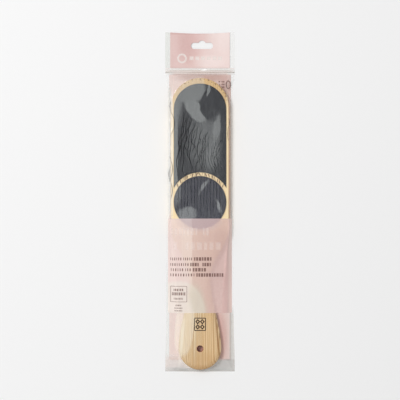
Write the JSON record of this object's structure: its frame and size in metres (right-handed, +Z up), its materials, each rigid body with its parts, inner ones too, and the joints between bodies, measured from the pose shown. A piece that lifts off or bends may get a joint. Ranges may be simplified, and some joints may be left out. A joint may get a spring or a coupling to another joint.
{
  "type": "foot file in a header pouch",
  "caption": "Flat wooden foot file with a long and a round abrasive pad on each face, in a clear printed pouch with a sealing lip and a hanging header.",
  "frame": {"origin": "on the floor under the middle of the pouch and header together", "axes": "+Z up out of the pouch's front, +Y along the pouch from its bottom fold to the header, +X to the right as seen from the front"},
  "size_m": [0.0644, 0.3152, 0.0097],
  "materials": {
    "pale_wood": "sanded, clear sealed",
    "coarse_abrasive": "fine dark grit",
    "round_abrasive": "fine dark blue-grey grit",
    "sheet_adhesive": "dried adhesive",
    "clear_film": "clear polypropylene film",
    "pink_ink": "printed ink",
    "header_ink": "printed ink",
    "clear_tape": "clear adhesive tape"
  },
  "bodies": {
    "pouch": {"back_film": "clear_film", "rear_print": "pink_ink", "front_film": "clear_film", "band_print": "pink_ink", "closure_tape": "clear_tape", "header_weld": "clear_film"},
    "file": {"wood_paddle": "pale_wood", "front_long_abrasive": "coarse_abrasive", "front_long_adhesive": "sheet_adhesive", "front_round_abrasive": "round_abrasive", "front_round_adhesive": "sheet_adhesive", "rear_long_abrasive": "coarse_abrasive", "rear_long_adhesive": "sheet_adhesive", "rear_round_abrasive": "round_abrasive", "rear_round_adhesive": "sheet_adhesive"},
    "lip": {"sealing_lip": "clear_film"},
    "header": {"header_back_film": "clear_film", "header_front_film": "clear_film", "header_print": "header_ink"}
  },
  "joints": [
    {"name": "file_slide", "type": "slide", "parent": "pouch", "child": "file", "axis": [0, 1, 0], "range_m": [0, 0.32], "deforming": ["front_film", "band_print"]},
    {"name": "lip_peel", "type": "hinge", "parent": "pouch", "child": "lip", "pos_m": [0, 0.1192, 0.0005], "axis": [1, 0, 0], "range_deg": [0, 100]},
    {"name": "header_fold", "type": "hinge", "parent": "pouch", "child": "header", "pos_m": [0, 0.1241, 0.0005], "axis": [1, 0, 0], "range_deg": [0, 120]}
  ]
}
